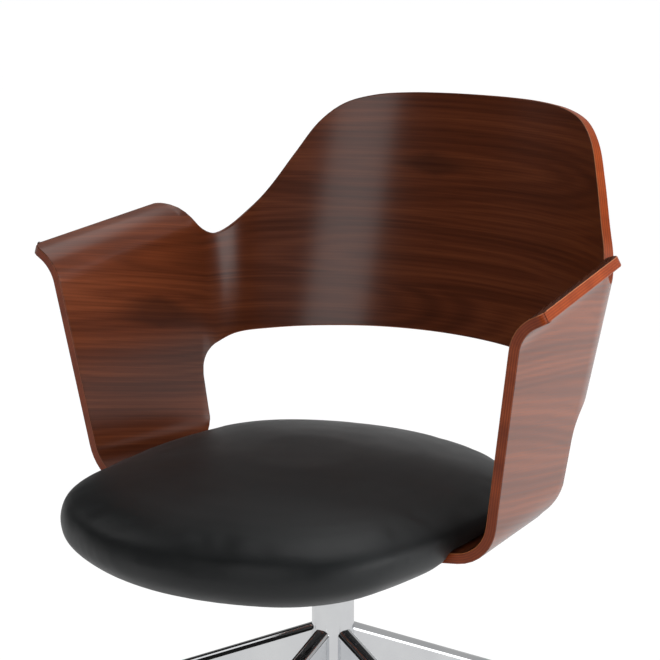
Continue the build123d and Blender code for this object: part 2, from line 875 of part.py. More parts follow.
with BuildPart() as caster_hood:
    with BuildSketch(Plane.YZ):
        with Locations((caster_trail, wheel_radius)):
            Circle(hood_reach)
        with BuildLine():
            lead = radians(hood_lead_angle)
            tail = radians(hood_tail_angle)
            lead_tip = (caster_trail - 2 * hood_reach * sin(lead), wheel_radius + 2 * hood_reach * cos(lead))
            tail_tip = (caster_trail + 2 * hood_reach * sin(tail), wheel_radius + 2 * hood_reach * cos(tail))
            Polyline(
                (caster_trail, wheel_radius - 2 * axle_radius),
                lead_tip,
                (caster_trail - 2 * hood_reach, 4 * hood_reach),
                (caster_trail + 2 * hood_reach, 4 * hood_reach),
                tail_tip,
                close=True,
            )
        make_face(mode=Mode.INTERSECT)
    extrude(amount=wheel_far, both=True)
    with Locations((0, 0, wheel_radius)):
        Cylinder(hood_boss_radius, hood_top - wheel_radius, align=UPWARDS)
    add(wheel_room.part, mode=Mode.SUBTRACT)
    with Locations(axle_place):
        Cylinder(axle_radius + weld_gap, hood_web, mode=Mode.SUBTRACT)
    with Locations((0, 0, hood_top)):
        Cylinder(
            stem_radius + weld_gap,
            stem_depth,
            align=DOWNWARDS,
            mode=Mode.SUBTRACT,
        )

with BuildPart() as caster_stem:
    with Locations((0, 0, hood_top - stem_depth)):
        Cylinder(stem_radius, stem_top - hood_top + stem_depth, align=UPWARDS)

with BuildPart() as caster_axle:
    with Locations(axle_place):
        Cylinder(axle_radius, 2 * (wheel_far - wheel_dish_depth))

with BuildPart() as caster_wheel:
    with BuildSketch(Plane.YZ.offset(wheel_near)):
        with Locations((caster_trail, wheel_radius)):
            Circle(wheel_radius)
    extrude(amount=wheel_width)
    fillet(caster_wheel.edges(), radius=wheel_round)
    with BuildSketch(Plane.YZ.offset(wheel_far)):
        with Locations((caster_trail, wheel_radius)):
            Circle(wheel_dish_radius)
    extrude(amount=-wheel_dish_depth, mode=Mode.SUBTRACT)
    with BuildSketch(Plane.YZ.offset(wheel_near)):
        with Locations((caster_trail, wheel_radius)):
            Circle(axle_radius + running_gap)
    extrude(amount=wheel_width, mode=Mode.SUBTRACT)


# Copies of legs, sockets and casters round the star

FULL_TURN = 360

for number in range(1, leg_count + 1):
    angle = star_turn + (number - 1) * FULL_TURN / leg_count - FULL_TURN / 4
    turn = Rot(0, 0, angle)
    place = turn * Pos(socket_reach, 0, 0) * Rot(0, 0, -angle)
    write(turn * leg.part, f"leg_{number}")
    write(turn * caster_socket.part, f"caster_socket_{number}")
    write(place * caster_hood.part, f"caster_hood_{number}")
    write(place * caster_stem.part, f"caster_stem_{number}")
    write(place * caster_axle.part, f"caster_axle_{number}")
    write(place * caster_wheel.part, f"right_wheel_{number}")
    write(place * mirror(caster_wheel.part, about=Plane.YZ), f"left_wheel_{number}")
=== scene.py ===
import json
import math

import bmesh
import bpy
import numpy as np
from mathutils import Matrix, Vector


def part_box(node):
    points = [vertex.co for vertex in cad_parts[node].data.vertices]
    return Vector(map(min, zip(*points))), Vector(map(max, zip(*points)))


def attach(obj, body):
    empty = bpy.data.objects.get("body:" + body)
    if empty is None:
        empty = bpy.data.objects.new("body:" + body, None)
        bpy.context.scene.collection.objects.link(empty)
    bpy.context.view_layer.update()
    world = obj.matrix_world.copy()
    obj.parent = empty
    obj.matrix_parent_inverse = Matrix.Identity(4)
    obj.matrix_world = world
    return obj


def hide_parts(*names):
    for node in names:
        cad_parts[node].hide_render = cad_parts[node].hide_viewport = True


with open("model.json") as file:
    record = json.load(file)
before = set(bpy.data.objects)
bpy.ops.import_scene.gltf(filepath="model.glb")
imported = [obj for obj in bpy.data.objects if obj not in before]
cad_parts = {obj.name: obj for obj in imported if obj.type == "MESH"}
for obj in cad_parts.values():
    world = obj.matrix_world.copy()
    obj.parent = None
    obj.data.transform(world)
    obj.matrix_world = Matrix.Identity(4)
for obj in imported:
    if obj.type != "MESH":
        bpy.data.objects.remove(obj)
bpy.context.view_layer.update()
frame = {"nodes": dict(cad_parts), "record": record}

scene = bpy.context.scene
nodes = frame["nodes"]
MM = 0.001


# Shader helpers

class Shader:
    """One node material, with short ways to add and link its nodes."""

    def __init__(self, name, **values):
        self.material = bpy.data.materials.new(name)
        self.material.use_nodes = True
        self.tree = self.material.node_tree
        self.surface = self.tree.nodes["Principled BSDF"]
        self.set(self.surface, **values)

    def set(self, node, **values):
        for key, value in values.items():
            node.inputs[key.replace("_", " ")].default_value = value
        return node

    def add(self, kind, **settings):
        node = self.tree.nodes.new(kind)
        for key, value in settings.items():
            setattr(node, key, value)
        return node

    def link(self, source, target):
        self.tree.links.new(source, target)

    def feed(self, target, source):
        """Link a node's output to a socket, or set the socket to a plain value."""
        if hasattr(source, "is_output"):
            self.link(source, target)
        else:
            target.default_value = source

    def math(self, operation, first, second=0.0, clamp=False):
        node = self.add("ShaderNodeMath", operation=operation, use_clamp=clamp)
        self.feed(node.inputs[0], first)
        self.feed(node.inputs[1], second)
        return node.outputs[0]

    def place(self, kind="Object"):
        return self.add("ShaderNodeTexCoord").outputs[kind]

    def stretch(self, vector, scale, offset=(0, 0, 0)):
        node = self.add("ShaderNodeMapping")
        node.inputs["Scale"].default_value = scale
        node.inputs["Location"].default_value = offset
        self.link(vector, node.inputs["Vector"])
        return node.outputs["Vector"]

    def noise(self, vector, scale, detail=3.0, roughness=0.55, distortion=0.0):
        node = self.add("ShaderNodeTexNoise")
        self.set(node, Scale=scale, Detail=detail, Roughness=roughness, Distortion=distortion)
        self.link(vector, node.inputs["Vector"])
        return node.outputs["Fac"]

    def ramp(self, value, *stops):
        node = self.add("ShaderNodeValToRGB")
        ramp = node.color_ramp
        while len(ramp.elements) < len(stops):
            ramp.elements.new(0.5)
        for element, (position, colour) in zip(ramp.elements, stops):
            element.position = position
            element.color = (*colour, 1)
        self.link(value, node.inputs["Fac"])
        return node.outputs["Color"]

    def levels(self, value, low, high, to_low=0.0, to_high=1.0):
        node = self.add("ShaderNodeMapRange")
        for key, number in (("From Min", low), ("From Max", high), ("To Min", to_low), ("To Max", to_high)):
            node.inputs[key].default_value = number
        self.link(value, node.inputs["Value"])
        return node.outputs["Result"]

    def mix(self, factor, first, second, blend="MIX"):
        node = self.add("ShaderNodeMix", data_type="RGBA", blend_type=blend)
        self.feed(node.inputs["Factor"], factor)
        for socket, value in ((node.inputs[6], first), (node.inputs[7], second)):
            self.feed(socket, (*value, 1) if isinstance(value, tuple) else value)
        return node.outputs[2]

    def bump(self, height, strength, distance):
        node = self.add("ShaderNodeBump")
        self.set(node, Strength=strength, Distance=distance)
        self.link(height, node.inputs["Height"])
        self.link(node.outputs["Normal"], self.surface.inputs["Normal"])

    def colour(self, source):
        self.link(source, self.surface.inputs["Base Color"])

    def rough(self, source):
        self.link(source, self.surface.inputs["Roughness"])


def linear(red, green, blue):
    """Linear colour of a screen colour given from 0 to 255."""
    channel = lambda v: v / 12.92 if v <= 0.04045 else ((v + 0.055) / 1.055) ** 2.4
    return tuple(channel(v / 255) for v in (red, green, blue))


# Materials

def walnut(name, edge):
    """Lacquered walnut veneer on the sheet's own coordinates; edge gives the layers seen on the cut edge."""
    shader = Shader(name, Roughness=0.42, Coat_Weight=0.4 if edge else 0.85, Coat_Roughness=0.2,
                    Specular_IOR_Level=0.1, IOR=1.45, Coat_IOR=1.5)
    sheet = shader.add("ShaderNodeUVMap", uv_map="sheet").outputs["UV"]
    split = shader.add("ShaderNodeSeparateXYZ")
    shader.link(sheet, split.inputs[0])
    along, up = split.outputs[0], split.outputs[1]
    if edge:
        depth = shader.add("ShaderNodeUVMap", uv_map="depth").outputs["UV"]
        cut = shader.add("ShaderNodeSeparateXYZ")
        shader.link(depth, cut.inputs[0])
        layer = shader.math("FRACT", shader.math("MULTIPLY", cut.outputs[0], 4.5))
        streak = shader.noise(shader.stretch(sheet, (9, 9, 1)), 3.0)
        body = shader.ramp(streak, (0.3, linear(118, 48, 18)), (0.7, linear(152, 68, 28)))
        dark = shader.levels(layer, 0.35, 0.6, 0.0, 0.45)
        lined = shader.mix(dark, body, linear(86, 32, 12))
        # Painted highlight: a pale line along the cut edge's inner rim, where the rounded corner catches the
        # light
        painted_rim_highlight = shader.levels(cut.outputs[0], 0.0, 0.12, 1.0, 0.0)
        shader.colour(shader.mix(shader.math("MULTIPLY", painted_rim_highlight, 0.7), lined, linear(196, 128, 84)))
        shader.bump(layer, 0.08, 0.0004)
        return shader.material
    # Growth rings: long ovals round a few hearts, wandering with a slow noise
    drift = shader.noise(shader.stretch(sheet, (2.2, 6.0, 1)), 1.0, 1.0)
    ripple = shader.noise(shader.stretch(sheet, (5.0, 30.0, 1)), 1.0, 2.0)
    wander = shader.math("ADD", shader.math("MULTIPLY", drift, 0.06), shader.math("MULTIPLY", ripple, 0.008))
    rings = None
    for heart_along, heart_up, slim in HEARTS:
        side = shader.math("MULTIPLY", shader.math("SUBTRACT", along, heart_along), slim)
        rise = shader.math("SUBTRACT", up, heart_up)
        reach = shader.math("SQRT", shader.math(
            "ADD", shader.math("MULTIPLY", side, side), shader.math("MULTIPLY", rise, rise)))
        rings = reach if rings is None else shader.math("MINIMUM", rings, reach)
    field = shader.math("ADD", rings, wander)
    bands = shader.math("SINE", shader.math("MULTIPLY", field, 2 * math.pi * 120))
    broad = shader.math("SINE", shader.math("MULTIPLY", field, 2 * math.pi * 26))
    fibre = shader.noise(shader.stretch(sheet, (3.5, 380, 1)), 1.0, 4.0, 0.6)
    pore = shader.noise(shader.stretch(sheet, (26, 1300, 1)), 1.0, 2.0, 0.5)
    tone = shader.math("ADD", shader.math("MULTIPLY", bands, 0.05), shader.math("MULTIPLY", broad, 0.07))
    tone = shader.math("ADD", tone, shader.math("MULTIPLY", fibre, 0.5))
    tone = shader.math("ADD", tone, 0.255)
    body = shader.ramp(
        tone, (0.18, linear(54, 22, 9)), (0.48, linear(91, 42, 20)), (0.85, linear(128, 66, 35)))
    for heart_along, heart_up, half_length, half_height in FLAMES:
        side = shader.math("MULTIPLY", shader.math("SUBTRACT", along, heart_along), 1 / half_length)
        rise = shader.math("MULTIPLY", shader.math("SUBTRACT", up, heart_up), 1 / half_height)
        rise = shader.math("ADD", rise, shader.math("MULTIPLY", shader.math("SUBTRACT", ripple, 0.5), 1.6))
        reach = shader.math("ADD", shader.math("ABSOLUTE", side), shader.math("MULTIPLY", rise, rise))
        body = shader.mix(shader.levels(reach, 0.35, 1.05, 0.5, 0.0), body, linear(40, 17, 9))
    pores = shader.levels(pore, 0.60, 0.74, 0.0, 0.4)
    shader.colour(shader.mix(pores, body, linear(44, 18, 9)))
    shader.rough(shader.levels(fibre, 0.2, 0.8, 0.32, 0.46))
    shader.bump(pore, 0.05, 0.0003)
    return shader.material


def leather():
    shader = Shader("black_leather", IOR=1.45, Specular_IOR_Level=0.5, Sheen_Weight=0.06, Sheen_Roughness=0.4)
    place = shader.place()
    cells = shader.add("ShaderNodeTexVoronoi", feature="DISTANCE_TO_EDGE")
    shader.set(cells, Scale=620.0)
    shader.link(place, cells.inputs["Vector"])
    grain = shader.noise(place, 900.0, 3.0)
    cloud = shader.noise(place, 14.0, 3.0)
    shader.colour(shader.ramp(cloud, (0.3, linear(18, 20, 21)), (0.7, linear(26, 28, 29))))
    shader.rough(shader.levels(cloud, 0.3, 0.7, 0.40, 0.50))
    height = shader.math("ADD", shader.levels(cells.outputs["Distance"], 0.0, 0.25), grain)
    shader.bump(height, 0.10, 0.0004)
    return shader.material


def chrome():
    shader = Shader("polished_chrome", Metallic=1.0)
    place = shader.place()
    haze = shader.noise(place, 22.0, 3.0)
    shader.colour(shader.ramp(haze, (0.3, (0.78, 0.79, 0.81)), (0.7, (0.86, 0.87, 0.88))))
    shader.rough(shader.levels(haze, 0.3, 0.7, 0.05, 0.11))
    return shader.material


def metal(name, dark, light, low, high, grain):
    shader = Shader(name, Metallic=1.0)
    place = shader.place()
    brushed = shader.noise(shader.stretch(place, (1, 1, 9)), grain, 3.0)
    shader.colour(shader.ramp(brushed, (0.3, dark), (0.7, light)))
    shader.rough(shader.levels(brushed, 0.3, 0.7, low, high))
    shader.bump(brushed, 0.04, 0.0003)
    return shader.material


def moulded(name, dark, light, low, high, grain):
    """Plastic, rubber or powder coat: a fine pebble with slow changes of tone."""
    shader = Shader(name, IOR=1.48)
    place = shader.place()
    pebble = shader.noise(place, grain, 3.0)
    cloud = shader.noise(place, 30.0, 2.0)
    shader.colour(shader.ramp(cloud, (0.3, dark), (0.7, light)))
    shader.rough(shader.levels(pebble, 0.3, 0.7, low, high))
    shader.bump(pebble, 0.12, 0.0003)
    return shader.material


def birch():
    shader = Shader("plain_plywood", Roughness=0.62)
    place = shader.place()
    grain = shader.noise(shader.stretch(place, (9, 160, 160)), 1.0, 4.0)
    shader.colour(shader.ramp(grain, (0.3, linear(176, 138, 96)), (0.7, linear(214, 182, 138))))
    shader.bump(grain, 0.08, 0.0004)
    return shader.material


FLAMES = ((0.42, 0.716, 0.075, 0.017), (0.02, 0.53, 0.08, 0.018))
HEARTS = ((0.42, 0.716, 0.10), (0.02, 0.55, 0.085), (0.66, 0.60, 0.04))
WALNUT = walnut("walnut_veneer", False)
WALNUT_EDGE = walnut("walnut_edge", True)
LEATHER = leather()
FINISHES = {
    "chrome": chrome(),
    "plain_plywood": birch(),
    "black_steel": moulded("black_steel", linear(22, 22, 24), linear(34, 34, 36), 0.38, 0.52, 1500.0),
    "zinc_steel": metal("zinc_steel", (0.50, 0.51, 0.52), (0.64, 0.65, 0.66), 0.28, 0.42, 60.0),
    "ground_steel": metal("ground_steel", (0.46, 0.47, 0.49), (0.60, 0.61, 0.63), 0.16, 0.26, 160.0),
    "black_plastic": moulded("black_plastic", linear(18, 18, 19), linear(28, 28, 29), 0.42, 0.58, 1800.0),
    "wheel_plastic": moulded("wheel_plastic", linear(20, 20, 21), linear(32, 32, 33), 0.26, 0.40, 900.0),
    "bumper_rubber": moulded("bumper_rubber", linear(14, 14, 14), linear(24, 24, 24), 0.62, 0.80, 700.0),
}
for entry in frame["record"]["subparts"]:
    finish = FINISHES.get(entry["material_slot"])
    if finish:
        mesh = nodes[entry["node"]].data
        mesh.materials.clear()
        mesh.materials.append(finish)


# Shell: the plywood sheet laid out flat, with its true outline, then bent into shape. Sizes in millimetres.

PLY = 11.5
JOIN = 105.0
BEND, BEND_FROM_Y = 125.0, 60.0
# Height from which lengths up the sheet are counted
DATUM = 500.0
ARM_X, ARM_X_HEIGHT = 261.6, 417.0
ARM_LEAN, ARM_TOE = 0.157, 0.118
ARM_ANGLE = math.atan2(ARM_TOE, 1)
FRONT_Y, FRONT_RAKE = -106.2, 0.092
PANEL_Z, PANEL_HALF, KNEE_Z = 348.2, 110, 371.0
SECTION_RADII = (200.0, 55.0, 39.0)
# First point of the arm's section that is past the panel, where height only grows
UPRIGHT = 30
LIP_Z, LIP_SLOPE = 638.0, 0.129
LIP_RISE, LIP_RISE_FROM = 14.0, 80.0
LIP_REACH, LIP_TURN = 30.0, math.radians(65.0)
TIP_ROUND, TIP_ROWS = 9.0, 3
BACK_RADIUS, BACK_TILT = 356.0, 0.257
BACK_DEPTH, BACK_DEPTH_HEIGHT = 234.4, 527.2
# Length up the leaning back for each unit of height
BACK_STRETCH = 1.012


def arm_x(y, z):
    return ARM_X + ARM_LEAN * (z - ARM_X_HEIGHT) - ARM_TOE * y


def rounded(corners, radii):
    """Points and left-hand normals along a line whose inner corners are rounded."""
    points, normals = [], []
    corners = [np.array(c, float) for c in corners]

    def put(point, ahead):
        points.append(point)
        normals.append(np.array((-ahead[1], ahead[0])))

    start = corners[0]
    for before, corner, after, radius in zip(corners, corners[1:], corners[2:], radii):
        into = (corner - before) / np.linalg.norm(corner - before)
        out = (after - corner) / np.linalg.norm(after - corner)
        turn = math.atan2(into[0] * out[1] - into[1] * out[0], into @ out)
        cut = radius * math.tan(abs(turn) / 2)
        begin = corner - into * cut
        for share in np.linspace(0, 1, 12, endpoint=False):
            put(start + (begin - start) * share, into)
        side = np.array((-into[1], into[0])) * math.copysign(radius, turn)
        hub = begin + side
        for share in np.linspace(0, 1, 24, endpoint=False):
            angle = turn * share
            rotate = np.array(((math.cos(angle), -math.sin(angle)), (math.sin(angle), math.cos(angle))))
            put(hub - rotate @ side, rotate @ into)
        start = corner + out * cut
        last = out
    for share in np.linspace(0, 1, 12):
        put(start + (corners[-1] - start) * share, last)
    return np.array(points), np.array(normals)


def smooth(value, low, high):
    share = min(max((value - low) / (high - low), 0.0), 1.0)
    return share * share * (3 - 2 * share)


def arm_section(y):
    """Inner face from the panel's middle up to the lip's tip, and its length counted from the datum."""
    lip_z = LIP_Z + LIP_SLOPE * y + LIP_RISE * smooth(y, LIP_RISE_FROM, JOIN)
    lip_x = arm_x(y, lip_z)
    tip = (lip_x + LIP_REACH * math.sin(LIP_TURN), lip_z + LIP_REACH * math.cos(LIP_TURN))
    knee = (arm_x(y, KNEE_Z), KNEE_Z)
    outer, normal = rounded([(0, PANEL_Z), (PANEL_HALF, PANEL_Z), knee, (lip_x, lip_z), tip], SECTION_RADII)
    inner = outer + normal * PLY
    length = np.concatenate(([0], np.cumsum(np.linalg.norm(np.diff(inner, axis=0), axis=1))))
    at_datum = np.interp(DATUM, inner[UPRIGHT:, 1], length[UPRIGHT:])
    return inner, length - at_datum + DATUM


def bend_centre(z):
    """Centre of the bend from arm to back, and depth of the back's own centre, at height z."""
    middle = BACK_DEPTH + BACK_TILT * (z - BACK_DEPTH_HEIGHT) - BACK_RADIUS
    skew = math.hypot(1, ARM_TOE)
    line_x = arm_x(0, z) - (PLY * math.hypot(1, ARM_LEAN) / skew + BEND) * skew
    half = ARM_TOE * line_x + middle
    rest = line_x**2 + middle**2 - (BACK_RADIUS - BEND)**2
    corner_y = (half + math.sqrt(half**2 - skew**2 * rest)) / skew**2
    return line_x - ARM_TOE * corner_y, corner_y, middle


def arm_point(y, t):
    inner, length = arm_section(y)
    x, z = np.interp(t, length, inner[:, 0]), np.interp(t, length, inner[:, 1])
    if y > BEND_FROM_Y:
        # The low part of the arm turns into the bend before the join
        corner_y = bend_centre(z)[1]
        past = math.asin((y - corner_y) / BEND) - ARM_ANGLE
        if past > 0:
            x -= BEND * (1 - math.cos(past))
    return np.array((x, y, z))


def arm_t(y, z):
    """Length coordinate of a height on the arm's upright part."""
    inner, length = arm_section(y)
    return float(np.interp(z, inner[UPRIGHT:, 1], length[UPRIGHT:]))


def back_plan(z):
    """Inner face of the wall's right half at height z, from the join to the middle, with its length."""
    corner_x, corner_y, middle = bend_centre(z)
    corner = np.array((corner_x, corner_y))
    back_angle = math.atan2(corner_y - middle, corner_x)
    points = []
    first_angle = max(ARM_ANGLE, math.asin((JOIN - corner_y) / BEND))
    if first_angle == ARM_ANGLE:
        start = corner + BEND * np.array((math.cos(ARM_ANGLE), math.sin(ARM_ANGLE)))
        first = start + (JOIN - start[1]) * np.array((-ARM_TOE, 1.0))
        for share in np.linspace(0, 1, 8, endpoint=False):
            points.append(first + (start - first) * share)
    for angle in np.linspace(first_angle, back_angle, 32, endpoint=False):
        points.append(corner + BEND * np.array((math.cos(angle), math.sin(angle))))
    for angle in np.linspace(back_angle, math.pi / 2, 120):
        points.append(np.array((BACK_RADIUS * math.cos(angle), middle + BACK_RADIUS * math.sin(angle))))
    points = np.array(points)
    length = np.concatenate(([0], np.cumsum(np.linalg.norm(np.diff(points, axis=0), axis=1))))
    return points, length


def back_height(t):
    return DATUM + (t - DATUM) / BACK_STRETCH


def back_t(z):
    return DATUM + (z - DATUM) * BACK_STRETCH


def back_point(along, t):
    z = back_height(t)
    points, length = back_plan(z)
    return np.array((np.interp(along, length, points[:, 0]), np.interp(along, length, points[:, 1]), z))


def from_x(x, z):
    """Flat-sheet place of a point on the back, given its distance from the middle and its height."""
    points, length = back_plan(z)
    return JOIN + float(np.interp(-x, -points[:, 0], length)), back_t(z)


def from_y(y, z):
    """Flat-sheet place of a point on the bend, given its depth and its height."""
    points, length = back_plan(z)
    return JOIN + float(np.interp(y, points[:, 1], length)), back_t(z)


def to_middle(t):
    """Flat-sheet place of the back's middle."""
    return JOIN + back_plan(back_height(t))[1][-1]


def sheet_point(s, t):
    """Inner face of the right half at a flat-sheet place."""
    if s <= JOIN:
        return arm_point(s, t)
    return back_point(min(s - JOIN, to_middle(t) - JOIN), t)


def through(points, counts):
    """Smooth run through points, with a number of steps for each span."""
    points = np.array(points, float)
    ends = np.vstack((2 * points[0] - points[1], points, 2 * points[-1] - points[-2]))
    run = []
    for index, count in enumerate(counts):
        a, b, c, d = ends[index:index + 4]
        span = np.linalg.norm(c - b)
        lead = (c - a) / (np.linalg.norm(b - a) + span) * span
        tail = (d - b) / (np.linalg.norm(d - c) + span) * span
        for u in np.linspace(0, 1, count, endpoint=False):
            run.append((2 * u**3 - 3 * u**2 + 1) * b + (u**3 - 2 * u**2 + u) * lead
                       + (-2 * u**3 + 3 * u**2) * c + (u**3 - u**2) * tail)
    run.append(points[-1])
    return np.array(run)


def tip_t(y):
    """Length coordinate of the lip's edge, carried straight on where the lip runs out."""
    ahead, start = arm_section(-50.0)[1][-1], arm_section(0.0)[1][-1]
    return start + (start - ahead) * y / 50.0


FOOT_Y, FOOT_Z = 50.0, 390.5
HEEL_Y, HEEL_ROUND = 78.0, 23.0
ELBOW_Z, LIP_END_Y = 462.0, 66.0
foot_t = arm_t(FOOT_Y, FOOT_Z)
elbow_t = arm_t(HEEL_Y, ELBOW_Z)

# Edges of the flat sheet from the arm's heel to the back's middle
upper_points = [(LIP_END_Y, tip_t(LIP_END_Y)), (74.0, tip_t(74.0) - 3.0), (82.0, tip_t(82.0) - 11.0)]
upper_points += [(95.0, arm_t(95.0, 651.0)), (109.5, 637.0), from_y(125.0, 628.7), from_y(141.0, 632.5)]
upper_points += [from_x(249.6, 646.5), from_x(232.0, 676.0), from_x(208.6, 724.0), from_x(189.5, 760.0)]
upper_points += [from_x(165.0, 783.0), from_x(131.0, 794.0), from_x(91.0, 798.0), from_x(45.0, 799.2)]
upper_points += [from_x(0.0, 799.4)]
upper_run = through(upper_points, [2, 2, 3, 3, 3, 3, 4, 6, 8, 6, 5, 6, 6, 6, 6])
lower_points = [(HEEL_Y, elbow_t), (80.5, arm_t(80.5, 474.0)), (87.0, arm_t(87.0, 485.0))]
lower_points += [(95.5, arm_t(95.5, 492.3)), (104.5, arm_t(104.5, 496.8))]
lower_points += [from_x(236.0, 506.0), from_x(208.0, 509.5), from_x(176.0, 512.3)]
lower_points += [from_x(142.0, 514.3), from_x(110.0, 515.8), from_x(80.0, 516.7), from_x(50.0, 517.2)]
lower_points += [from_x(25.0, 517.4), from_x(0.0, 517.5)]
lower_run = through(lower_points, [4, 4, 3, 3, 10, 7, 7, 7, 6, 6, 5, 4, 3])

ROWS_LOW, ROWS_MID, ROWS_HIGH = 34, 12, 40
ROWS = ROWS_LOW + ROWS_MID + ROWS_HIGH
ARM_COLUMNS, HEEL_COLUMNS, BACK_COLUMNS = 26, 8, len(upper_run) - 1
LAST_COLUMN = ARM_COLUMNS + HEEL_COLUMNS + BACK_COLUMNS


def front_y(z):
    return FRONT_Y - FRONT_RAKE * (z - ARM_X_HEIGHT)


def heel_place(column):
    """Depth and height of the arm's lower rear edge, round the heel."""
    if column == 1:
        return HEEL_Y - HEEL_ROUND, FOOT_Z
    turn = math.pi / 2 * (column - 1) / (HEEL_COLUMNS - 1)
    return HEEL_Y - HEEL_ROUND * (1 - math.sin(turn)), FOOT_Z + HEEL_ROUND * (1 - math.cos(turn))


# Grid of flat-sheet places by column, from the front edge, and row, from the panel's middle
grid = {}
for column in range(ARM_COLUMNS + 1):
    share = column / ARM_COLUMNS
    rough_y = front_y(DATUM) + (FOOT_Y - front_y(DATUM)) * share
    inner, length = arm_section(rough_y)
    heights = list(np.linspace(length[0], foot_t, ROWS_LOW + 1))
    heights += list(np.linspace(foot_t, elbow_t, ROWS_MID + 1))[1:]
    heights += list(np.linspace(elbow_t, tip_t(rough_y), ROWS_HIGH + 1))[1:]
    for row, t in enumerate(heights):
        z = np.interp(t, length, inner[:, 1])
        y = front_y(z) + (FOOT_Y - front_y(z)) * share
        tip_share = max(0.0, (row - ROWS + TIP_ROWS) / TIP_ROWS)
        if column == 0 and tip_share > 0:
            y += TIP_ROUND * (1 - math.sqrt(max(0.0, 1 - tip_share**2)))
        grid[(column, row)] = (y, t)
for column in range(1, HEEL_COLUMNS + 1):
    y, z = heel_place(column)
    low_t = arm_t(y, z)
    top_y = FOOT_Y + (y - FOOT_Y) * (LIP_END_Y - FOOT_Y) / (HEEL_Y - FOOT_Y)
    for row in range(ROWS_MID + 1):
        grid[(ARM_COLUMNS + column, ROWS_LOW + row)] = (y, low_t + (elbow_t - low_t) * row / ROWS_MID)
    for row in range(1, ROWS_HIGH + 1):
        share = row / ROWS_HIGH
        place = (y + (top_y - y) * share, elbow_t + (tip_t(top_y) - elbow_t) * share)
        grid[(ARM_COLUMNS + column, ROWS_LOW + ROWS_MID + row)] = place
for column in range(1, BACK_COLUMNS + 1):
    for row in range(ROWS_HIGH + 1):
        s, t = lower_run[column] + (upper_run[column] - lower_run[column]) * row / ROWS_HIGH
        if column == BACK_COLUMNS:
            s = to_middle(t)
        grid[(ARM_COLUMNS + HEEL_COLUMNS + column, ROWS_LOW + ROWS_MID + row)] = (s, t)

keys = list(grid)
number = {key: index for index, key in enumerate(keys)}
flat = np.array([grid[key] for key in keys])
inner = np.array([sheet_point(s, t) for s, t in flat])


def grid_quads():
    """The grid's four-cornered cells, as numbers of the grid's places."""
    quads = []
    for column in range(LAST_COLUMN):
        for row in range(ROWS):
            corners = [(column, row), (column + 1, row), (column + 1, row + 1), (column, row + 1)]
            if all(corner in number for corner in corners):
                quads.append([number[corner] for corner in corners])
    return quads


quads = grid_quads()
middle_column = {number[(LAST_COLUMN, row)] for row in range(ROWS_LOW + ROWS_MID, ROWS + 1)}
middle_row = {number[(column, 0)] for column in range(ARM_COLUMNS + 1)}
corners = inner[np.array(quads)]
across = np.cross(corners[:, 2] - corners[:, 0], corners[:, 3] - corners[:, 1])
out = np.zeros_like(inner)
for place in range(4):
    np.add.at(out, np.array(quads)[:, place], across)
out[list(middle_column | middle_row), 0] = 0.0
out /= np.linalg.norm(out, axis=1)[:, None]
outer = inner + out * PLY


def shell_half(side):
    """Corner positions, faces and material numbers of one half."""
    count = len(keys)
    spots = np.vstack((inner, outer)) * MM
    spots[:, 0] *= side
    faces, kinds = [], []
    order = (lambda loop: loop) if side > 0 else (lambda loop: loop[::-1])
    first = set()
    for loop in quads:
        faces.append(order(loop))
        faces.append(order([index + count for index in reversed(loop)]))
        kinds += [0, 0]
        first.update(zip(loop, loop[1:] + loop[:1]))
    for start, finish in first:
        if (finish, start) in first:
            continue
        if {start, finish} <= middle_column or {start, finish} <= middle_row:
            continue
        faces.append(order([finish, start, start + count, finish + count]))
        kinds.append(1)
    return spots, faces, kinds


GRAIN_FALL = 0.2


def sheet_uv(side):
    """Place on the flat veneer, running on from the left arm over the back to the right arm, in metres."""
    along = flat[:, 0].copy()
    if side > 0:
        along = np.array([2 * to_middle(max(t, DATUM)) - s for s, t in flat])
    # The grain falls a little towards the rear of the arms
    up = flat[:, 1] + GRAIN_FALL * np.minimum(flat[:, 0] - JOIN, 0.0)
    return np.column_stack((along, up)) * MM


mesh = bpy.data.meshes.new("shell_sheet")
halves = [shell_half(side) for side in (-1, 1)]
per_half = len(halves[0][0])
spots = np.vstack([half[0] for half in halves])
faces = halves[0][1] + [[index + per_half for index in loop] for loop in halves[1][1]]
kinds = halves[0][2] + halves[1][2]
places = np.vstack([np.vstack((sheet_uv(side), sheet_uv(side))) for side in (-1, 1)])
depths = np.tile(np.repeat((0.0, 1.0), len(keys)), 2)
mesh.from_pydata(spots.tolist(), [], faces)
sheet_layer = mesh.uv_layers.new(name="sheet")
depth_layer = mesh.uv_layers.new(name="depth")
for loop in mesh.loops:
    sheet_layer.data[loop.index].uv = places[loop.vertex_index]
    depth_layer.data[loop.index].uv = (depths[loop.vertex_index], 0)
mesh.materials.append(WALNUT)
mesh.materials.append(WALNUT_EDGE)
mesh.polygons.foreach_set("material_index", kinds)
shell = bpy.data.objects.new("walnut_shell", mesh)
scene.collection.objects.link(shell)
work = bmesh.new()
work.from_mesh(mesh)
bmesh.ops.remove_doubles(work, verts=work.verts, dist=2e-5)
bmesh.ops.recalc_face_normals(work, faces=work.faces)
for face in work.faces:
    face.smooth = True
work.to_mesh(mesh)
work.free()


def apply_modifiers(piece):
    """Turn a piece's modifiers into its mesh."""
    bpy.context.view_layer.update()
    graph = bpy.context.evaluated_depsgraph_get()
    fresh = bpy.data.meshes.new_from_object(
        piece.evaluated_get(graph), preserve_all_data_layers=True, depsgraph=graph)
    piece.modifiers.clear()
    piece.data = fresh


round_edges = shell.modifiers.new("round_edges", "BEVEL")
round_edges.width = 1.3 * MM
round_edges.segments = 3
round_edges.limit_method = "ANGLE"
round_edges.angle_limit = math.radians(50)
round_edges.use_clamp_overlap = False
round_edges.harden_normals = True
apply_modifiers(shell)
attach(shell, "seat")
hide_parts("shell")


# Seat pad: the leather blown up over its board. Sizes in metres.

